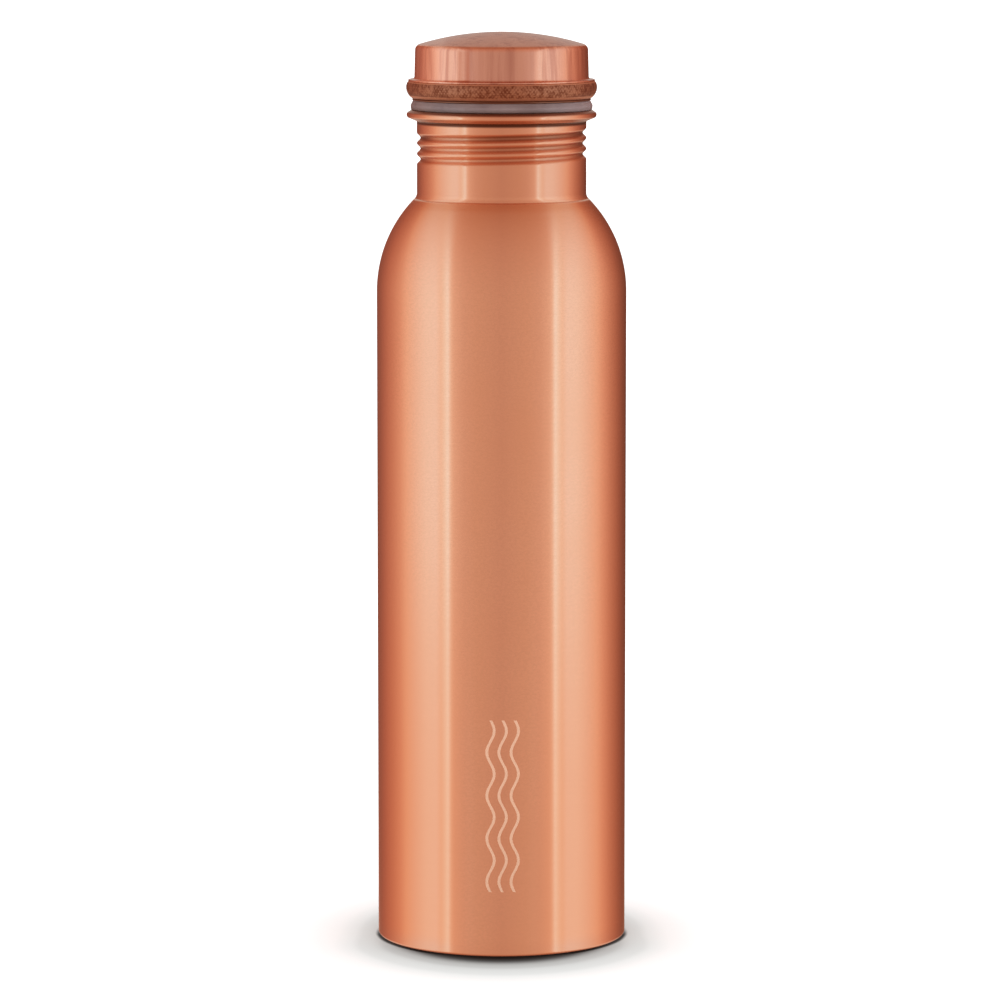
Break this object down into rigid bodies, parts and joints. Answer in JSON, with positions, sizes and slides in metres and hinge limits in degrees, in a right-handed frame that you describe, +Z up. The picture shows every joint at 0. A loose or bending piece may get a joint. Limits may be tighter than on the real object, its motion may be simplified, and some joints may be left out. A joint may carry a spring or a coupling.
{
  "type": "water bottle",
  "caption": "Tall round copper bottle with a domed shoulder, threaded neck and screw cap on a silicone seal, for storing and pouring drinking water.",
  "frame": {"origin": "centre of the foot, on the surface that the bottle stands on", "axes": "+Z up along the bottle's axis; -Y is the front, the side with the etched mark"},
  "size_m": [0.075, 0.075, 0.2736],
  "materials": {
    "brushed_copper": "satin copper, brushed around the body",
    "base_copper": "satin copper, turned",
    "cap_copper": "satin copper, brushed along the wall",
    "knurled_copper": "fine knurl, darkened",
    "plug_copper": "satin copper, as rolled",
    "silicone": "translucent, slightly glossy"
  },
  "bodies": {
    "bottle": {"bottle_shell": "brushed_copper", "base_plate": "base_copper"},
    "gasket": {"mouth_gasket": "silicone"},
    "cap": {"cap_cover": "cap_copper", "grip_ring": "knurled_copper", "cap_plug": "plug_copper", "plug_bottom": "plug_copper"}
  },
  "joints": [
    {"name": "cap_lift", "type": "slide", "parent": "bottle", "child": "gasket", "axis": [0, 0, 1], "range_m": [0, 0.01925]},
    {"name": "cap_turn", "type": "hinge", "parent": "gasket", "child": "cap", "pos_m": [0, 0, 0.25], "axis": [0, 0, 1], "range_deg": [0, 2160]}
  ],
  "couplings": [
    {"joint": "cap_lift", "follows": "cap_turn", "m_per_rad": 0.0005093}
  ]
}
